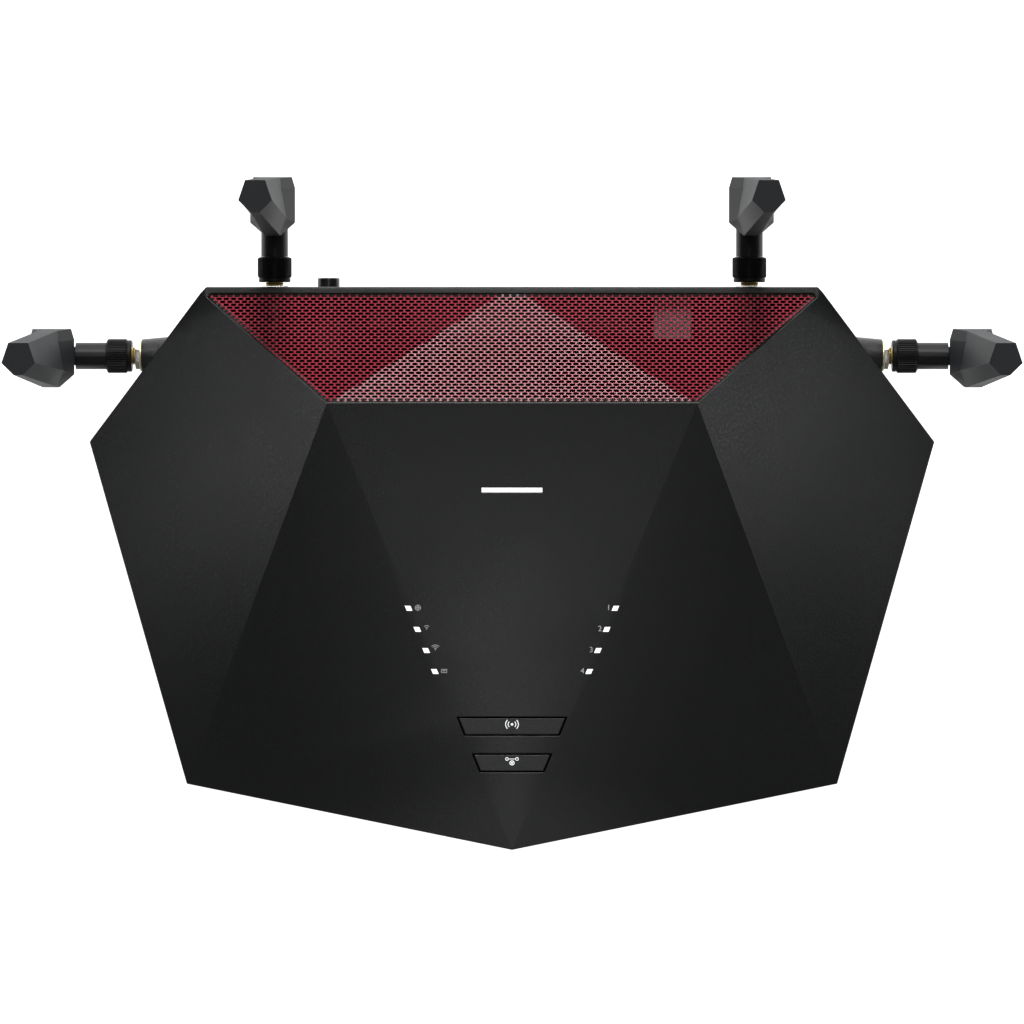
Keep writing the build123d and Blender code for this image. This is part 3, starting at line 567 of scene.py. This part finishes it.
for ring, x, y in zip(link_sign, (-1.75 * mm, 1.75 * mm, 0), (0.7 * mm, 0.7 * mm, -0.75 * mm)):
    ring.location = (x, y, 0)
link_sign += [disc(0.35 * mm, 0, -0.75 * mm), bar(2.0 * mm, 0.24 * mm, 0, 0.7 * mm)]
let_in("sync_sign", link_sign, "sync_button", (0, (low.y + high.y) / 2, well_clear), down,
       "sync_button", sign_white)

# ------------------------------------------------------------------ printed marks
# Small grey marks beside the indicator windows: signs for what each left-hand light stands for, and the
# numbers of the four network sockets at the right. The socket numbers are printed on the rear panel too.
windows = frame["nodes"]["indicator_windows"]
window_low, window_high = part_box("indicator_windows")
window_rows = 4
window_depth = 1.75 * mm
row_step = (window_high.y - window_low.y - window_depth) / (window_rows - 1)
row_step_x = (window_high.x - max(
    v.co.x for v in windows.data.vertices if v.co.y < window_low.y + window_depth
)) / (window_rows - 1)
number_inset = 3.7 * mm
sign_inset = 4.6 * mm
number_height = 2.8 * mm


def globe(radius, width):
    """A ring crossed by a level bar and an upright one, with a smaller ring inside it."""
    return [arc(radius, width), bar(2 * radius, width), bar(width, 2 * radius),
            arc(radius * 0.5, width * 0.8)]


def wave(count, step, width):
    """A dot with arcs above it."""
    marks = [disc(width * 0.9)]
    for ring in range(count):
        marks.append(arc(step * (ring + 1), width, pi / 2, radians(48)))
    return marks


for row in range(window_rows):
    y = window_high.y - window_depth / 2 - row * row_step + 0.2 * mm
    edge = window_high.x - row * row_step_x
    number = figure(str(row + 1), number_height)
    spot = (edge - number_inset, y, well_clear)
    let_in(f"port_number_{row + 1}", [number], "top_cover", spot, down, "router", print_grey)
    if row == 0:
        marks = globe(0.95 * mm, 0.2 * mm)
    elif row == 3:
        marks = [bar(1.9 * mm, 0.2 * mm, 0, 0.6 * mm), bar(1.9 * mm, 0.2 * mm, 0, -0.6 * mm),
                 bar(0.2 * mm, 1.4 * mm, -0.95 * mm), bar(0.2 * mm, 1.4 * mm, 0.95 * mm),
                 bar(1.1 * mm, 0.35 * mm, 0, 0.1 * mm)]
    else:
        marks = wave(row + 1, 0.6 * mm, 0.22 * mm)
    spot = (sign_inset - edge, y, well_clear)
    let_in(f"light_sign_{row + 1}", marks, "top_cover", spot, down, "router", print_grey)

# ------------------------------------------------------------------ tray, feet and case screws
# The tray is the same black plastic with a coarser texture. Soft feet are pressed into its recesses, and
# four steel screws with hexagon sockets go up through it into the cover.
tray_black = moulded("tray_black", (0.012, 0.012, 0.012), 0.55, per_metre=1500, relief=0.5)
finished("bottom_tray", "router", 0.25 * mm, tray_black)
foot_rubber = moulded("foot_rubber", (0.022, 0.022, 0.023), 0.8, per_metre=900, relief=0.4)
finished("rubber_feet", "router", 0, foot_rubber)

# machined or plated metal: fine marks along the piece and slow unevenness in gloss
worked_metal, given, made = new_group(
    "worked_metal",
    (("Colour", "Color"), ("Roughness", "Float"), ("Marks per metre", "Float"), ("Wear", "Float")),
    (("Colour", "Color"), ("Roughness", "Float"), ("Normal", "Vector")),
)
haze_per_metre = 260.0
marks = noise(worked_metal, given.outputs["Marks per metre"], 3.0)
haze = noise(worked_metal, haze_per_metre)
swing = calculate(worked_metal, "SUBTRACT", marks, 0.5)
swing = calculate(worked_metal, "MULTIPLY", swing, given.outputs["Wear"])
slow = calculate(worked_metal, "SUBTRACT", haze, 0.5)
slow = calculate(worked_metal, "MULTIPLY", slow, given.outputs["Wear"])
vary_colour(worked_metal, given, made, swing, slow)
rough = calculate(worked_metal, "ADD", given.outputs["Roughness"], slow)
worked_metal.links.new(rough, made.inputs["Roughness"])
emboss(worked_metal, made, marks, 0.02 * mm, 0.3)


def metal(name, colour, roughness, per_metre=3000, wear=0.25):
    """A bare or plated metal surface."""
    sockets = {"Marks per metre": per_metre, "Wear": wear}
    return grained(name, worked_metal, colour, roughness, sockets, metallic=1.0)


steel = metal("screw_steel", (0.46, 0.46, 0.46), 0.32)
finished("case_screws", "router", 0.12 * mm, steel)

# ------------------------------------------------------------------ rear panel
# A separate black plate let into the cover's rear opening. It carries the sockets' openings, the power
# button's bore and the seats of the two rear antennas.
panel_black = moulded("panel_black", (0.0105, 0.0105, 0.0108), 0.42, per_metre=2000)
finished("rear_panel", "router", 0.2 * mm, panel_black)

# ------------------------------------------------------------------ network sockets
# Black housings for the local ports, and one with a yellow face for the line in. Each port has eight
# gilt spring wires that rise from its floor, and its number or sign is printed above it.
socket_black = moulded("socket_black", (0.008, 0.008, 0.008), 0.5, relief=0.1, level=0.25)
socket_yellow = moulded("socket_yellow", (0.70, 0.43, 0.02), 0.33, relief=0.1, speckle=0.1)
gilt = metal("contact_gilt", (0.86, 0.62, 0.24), 0.2)
line_socket = finished("internet_socket", "router", 0.12 * mm, socket_black)
line_socket.data.materials.append(socket_yellow)
line_low, line_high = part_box("internet_socket")
yellow_depth = 1.5 * mm
for face in line_socket.data.polygons:
    if face.center.y > line_high.y - yellow_depth:
        face.material_index = 1
finished("lan_sockets", "router", 0.12 * mm, socket_black)
port_floor = 2.2 * mm  # above the base of the housing
wires = 8
wire_pitch = 1.02 * mm
wire_reach = ((0, -1.2 * mm, 0.1 * mm), (0, -5.2 * mm, 2.9 * mm), (0, -2.6 * mm, 0.9 * mm))
lan_pitch = 13.97 * mm
sign_height = 3.2 * mm  # above the top of the housing


def contact_comb(name, x, face_y, floor_z):
    """A row of spring wires, bent up and back from the floor of a port."""
    bpy.ops.object.select_all(action="DESELECT")
    bpy.ops.mesh.primitive_plane_add(size=0.4 * mm)
    comb = bpy.context.object
    comb.name = name
    bpy.ops.object.mode_set(mode="EDIT")
    bpy.ops.mesh.select_all(action="SELECT")
    bpy.ops.transform.rotate(value=pi / 2, orient_axis="X", center_override=(0, 0, 0))
    for step in wire_reach:
        bpy.ops.mesh.extrude_region_move(TRANSFORM_OT_translate={"value": step})
    bpy.ops.mesh.select_all(action="SELECT")
    bpy.ops.mesh.normals_make_consistent(inside=False)
    first_x = x - (wires - 1) / 2 * wire_pitch
    bpy.ops.transform.translate(value=(first_x, face_y - 1.8 * mm, floor_z + 0.35 * mm))
    bpy.ops.object.mode_set(mode="OBJECT")
    repeat(comb, wires, (wire_pitch, 0, 0), weld=False)
    soften(comb, 0.06 * mm, segments=1, angle=60)
    smooth(comb)
    dress(comb, "router", gilt)


low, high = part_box("lan_sockets")
ports = [((low.x + high.x) / 2 + lan_pitch * (i - 1.5), str(i + 1)) for i in range(4)]
low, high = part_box("internet_socket")
ports.append(((low.x + high.x) / 2, "line"))
for x, label in ports:
    contact_comb("port_contacts_" + label, x, high.y, low.z + port_floor)
    marks = globe(1.1 * mm, 0.25 * mm) if label == "line" else [figure(label, number_height)]
    let_in("socket_mark_" + label, marks, "rear_panel", (x, well_clear, high.z + sign_height), (0, -1, 0),
           "router", print_grey)

# ------------------------------------------------------------------ USB socket and power inlet
# A folded black-nickelled shell round a blue plastic tongue with gilt contacts, and a black barrel inlet
# with a nickel pin. Both are soldered to the board and show through openings in the rear panel.
usb_blue = moulded("usb_blue", (0.02, 0.09, 0.42), 0.35, relief=0.1, speckle=0.1)
black_nickel = metal("black_nickel", (0.16, 0.16, 0.16), 0.3)
nickel = metal("nickel", (0.72, 0.71, 0.68), 0.2)
usb = finished("usb_socket", "router", 0.08 * mm, black_nickel)
low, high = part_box("usb_socket")
usb.data.materials.append(usb_blue)
tongue_low = low + Vector((0.9, 1.0, 2.6)) * mm
tongue_high = high - Vector((0.9, 0.5, 0.9)) * mm
for face in usb.data.polygons:
    if all(tongue_low[i] < face.center[i] < tongue_high[i] for i in range(3)):
        face.material_index = 1
contacts = 4
contact_pitch = 2.5 * mm
contact_thickness = 0.12 * mm
bpy.ops.object.select_all(action="DESELECT")
bpy.ops.mesh.primitive_plane_add(size=1.0 * mm)
usb_contacts = bpy.context.object
usb_contacts.name = "usb_contacts"
bpy.ops.object.mode_set(mode="EDIT")
bpy.ops.mesh.select_all(action="SELECT")
bpy.ops.mesh.extrude_region_move(TRANSFORM_OT_translate={"value": (0, 0, -contact_thickness)})
bpy.ops.mesh.select_all(action="SELECT")
bpy.ops.transform.resize(value=(1, 7, 1), center_override=(0, 0, 0))
first_x = (low.x + high.x) / 2 - (contacts - 1) / 2 * contact_pitch
bpy.ops.transform.translate(value=(first_x, high.y - 5.5 * mm, low.z + 2.92 * mm))
bpy.ops.mesh.normals_make_consistent(inside=False)
bpy.ops.object.mode_set(mode="OBJECT")
repeat(usb_contacts, contacts, (contact_pitch, 0, 0), weld=False)
soften(usb_contacts, 0.03 * mm, segments=1, angle=60)
dress(usb_contacts, "router", gilt)

inlet = finished("power_inlet", "router", 0.12 * mm, socket_black)
inlet.data.materials.append(nickel)
low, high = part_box("power_inlet")
pin_axis = Vector(((low.x + high.x) / 2, low.z + 6.3 * mm))
pin_radius = 1.3 * mm
for face in inlet.data.polygons:
    corners = [inlet.data.vertices[i].co for i in face.vertices]
    reach = max((corner.xz - pin_axis).length for corner in corners)
    if reach < pin_radius and face.center.y > low.y + 2 * mm:
        face.material_index = 1

# ------------------------------------------------------------------ power and reset buttons
# Two glossy black plastic plungers, guided by bores in the rear panel. The round power button stands out
# and latches, with its sign printed above it. The small reset button is recessed, to be pressed by a pin.
key_black = moulded("key_black", (0.009, 0.009, 0.009), 0.22, relief=0.05)
finished("power_button", "power_button", 0, key_black)
finished("reset_button", "reset_button", 0, key_black)
low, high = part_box("power_button")
power_sign = [arc(1.1 * mm, 0.25 * mm, -pi / 2, radians(150)), bar(0.25 * mm, 1.3 * mm, 0, 0.75 * mm)]
spot = ((low.x + high.x) / 2, well_clear, high.z + 3.4 * mm)
let_in("power_sign", power_sign, "rear_panel", spot, (0, -1, 0), "router", print_grey)

# ------------------------------------------------------------------ inside the casing
# The board with its soldered parts, and what stands on it. Little of it shows, through the grille and the
# slots below: a black anodised heat sink, shield cans given a near-black painted shade in place of their
# bare tin, and dark solder mask.
solder_mask = moulded("solder_mask", (0.0015, 0.004, 0.0025), 0.6, per_metre=700, speckle=0.9, relief=0.2,
                      level=0.15)
sink_black = moulded("anodised_black", (0.003, 0.003, 0.003), 0.7, level=0.1)
# shield cans: a near-black painted shade instead of bare tin, so they stay dark through the grille
shield_painted_shade = moulded("shield_painted_shade", (0.003, 0.003, 0.003), 0.75, level=0.1)
pad_grey = moulded("thermal_pad", (0.03, 0.034, 0.04), 0.9, level=0.1)
lead_black = moulded("lead_jacket", (0.012, 0.012, 0.012), 0.4, relief=0.1)
copper = metal("copper", (0.75, 0.36, 0.2), 0.3)
led_body = moulded("led_body", (0.6, 0.6, 0.5), 0.4, relief=0.05)
inner_finishes = {
    "main_board": solder_mask,
    "heat_sink": sink_black,
    "shield_cans": shield_painted_shade,
    "thermal_pads": pad_grey,
    "indicator_leds": led_body,
    "board_screws": sink_black,
    "power_switch": socket_black,
    "touch_switches": socket_black,
}
antenna_places = ("left", "right", "rear_left", "rear_right")
for place in antenna_places:
    inner_finishes[place + "_antenna_lead"] = lead_black
    inner_finishes[place + "_antenna_radiator"] = copper
for node, material in inner_finishes.items():
    piece = frame["nodes"][node]
    piece.data.materials.clear()
    piece.data.materials.append(material)

# ------------------------------------------------------------------ antenna blades and hinges
# Each blade is a faceted grey moulding that tapers to a blunt tip. It turns on a steel pin in the tongue
# of a black barrel.
blade_grey = moulded("blade_grey", (0.036, 0.038, 0.041), 0.50, per_metre=2600, speckle=0.2, relief=0.2,
                     level=0.03)
past_any_facet = 1.0  # metres, so that no crease is kept crisp and the rounding reaches them all
barrel_black = moulded("barrel_black", (0.006, 0.006, 0.006), 0.36, relief=0.2, level=0.3)
for place in antenna_places:
    antenna = place + "_antenna"
    finished(antenna + "_blade", antenna + "_blade", 0.12 * mm, blade_grey, angle=12,
             crisp=past_any_facet)
    finished(antenna + "_barrel", antenna + "_barrel", 0.3 * mm, barrel_black)
    finished(antenna + "_hinge_pin", antenna + "_blade", 0.1 * mm, steel)

# ------------------------------------------------------------------ coupling nuts
# A black nut that is turned by hand, with fine straight ridges round it and a smooth collar towards the
# casing. It draws the plug against the socket.
nut_black = moulded("nut_black", (0.004, 0.004, 0.004), 0.4, relief=0.15, level=0.2)
ridges = 44
ridge_depth = 0.28 * mm
crest_radius = 5.95


def turned(name, profile, sides):
    """A closed ring-shaped piece about Z, from the corners of its half section."""
    bpy.ops.object.select_all(action="DESELECT")
    bpy.ops.mesh.primitive_circle_add(vertices=sides, radius=profile[0][0] * mm, fill_type="NOTHING")
    piece = bpy.context.object
    piece.name = name
    bpy.ops.object.mode_set(mode="EDIT")
    bpy.ops.mesh.select_all(action="SELECT")
    bpy.ops.transform.translate(value=(0, 0, profile[0][1] * mm))
    for (radius, height), (next_radius, next_height) in zip(profile, profile[1:] + profile[:1]):
        bpy.ops.mesh.extrude_edges_move()
        grow = next_radius / radius
        bpy.ops.transform.resize(value=(grow, grow, 1), center_override=(0, 0, 0))
        bpy.ops.transform.translate(value=(0, 0, (next_height - height) * mm))
    bpy.ops.mesh.select_all(action="SELECT")
    bpy.ops.mesh.remove_doubles(threshold=0.01 * mm)
    bpy.ops.mesh.normals_make_consistent(inside=False)
    bpy.ops.object.mode_set(mode="OBJECT")
    return piece


def seat(piece, node, outer):
    """Turns a piece's Z inwards along a connector, and sets it at the outer end of a CAD node."""
    low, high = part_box(node)
    end = (low + high) / 2
    if outer == "left":
        inward, end.x = Vector((1, 0, 0)), low.x
    elif outer == "right":
        inward, end.x = Vector((-1, 0, 0)), high.x
    else:
        inward, end.y = Vector((0, -1, 0)), high.y
    piece.rotation_euler = Vector((0, 0, 1)).rotation_difference(inward).to_euler()
    piece.location = end
    take(piece)
    bpy.ops.object.transform_apply(location=True, rotation=True, scale=True)


# radius and distance from the nut's outer end, in millimetres
nut_profile = [
    (2.75, 0.0), (3.9, 0.0), (3.9, -0.25), (4.95, -0.25), (4.95, 0.0), (5.45, 0.0), (5.72, 0.12),
    (crest_radius, 0.42), (crest_radius, 6.6), (5.72, 6.95), (5.4, 7.15), (5.4, 7.3), (5.55, 7.4),
    (5.55, 8.3), (5.3, 8.65), (3.25, 8.65), (3.25, 2.55), (4.0, 2.55), (4.0, 1.0), (2.75, 1.0),
]
for place in antenna_places:
    nut = turned(place + "_antenna_nut_knurled", nut_profile, 4 * ridges)
    for point in nut.data.vertices:
        # four corners to a ridge: two on its crest, and two in the groove beside it
        corner = round((point.co.xy.angle_signed(Vector((1, 0))) % (2 * pi)) / (2 * pi) * 4 * ridges)
        if point.co.xy.length > (crest_radius - 0.15) * mm and corner % 4 in (2, 3):
            point.co.xy *= 1 - ridge_depth / (crest_radius * mm)
    seat(nut, place + "_antenna_nut", place)
    smooth(nut, 25)
    dress(nut, place + "_antenna_nut", nut_black, place + "_antenna_nut")

# ------------------------------------------------------------------ antenna sockets
# Each socket is a threaded brass tube through the casing wall, held by a thin nickelled nut on a brass
# washer. A crimp at its inner end takes the lead.
brass = metal("brass", (0.88, 0.72, 0.38), 0.34)
crimp_length = 7.9 * mm
# radius and distance from the socket's outer end, in millimetres
thread_pitch, thread_turns, crest, root = 0.7056, 20, 3.17, 2.9
socket_profile = [(2.1, 0.0), (root, 0.0)]
for turn in range(thread_turns):
    socket_profile.append((crest, 0.1 + (turn + 0.35) * thread_pitch))
    socket_profile.append((root, 0.1 + (turn + 0.85) * thread_pitch))
socket_profile += [(4.5, 14.3), (4.5, 16.3), (2.2, 16.3), (2.2, 22.3), (0.6, 22.3), (0.6, 5.0), (2.1, 5.0)]
for place in antenna_places:
    socket = turned(place + "_antenna_socket_threaded", socket_profile, 40)
    seat(socket, place + "_antenna_socket", place)
    smooth(socket, 40)
    dress(socket, "router", brass, place + "_antenna_socket")
    finished(place + "_antenna_plug", "router", 0, nut_black)
    socket.data.materials.append(lead_black)
    low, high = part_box(place + "_antenna_lead")
    for face in socket.data.polygons:
        if "rear" in place:
            crimped = face.center.y < high.y + crimp_length
        else:
            crimped = abs(face.center.x) < max(abs(low.x), abs(high.x)) + crimp_length
        if crimped:
            face.material_index = 1
finished("connector_nuts", "router", 0.15 * mm, nickel)
finished("connector_washers", "router", 0.1 * mm, brass)
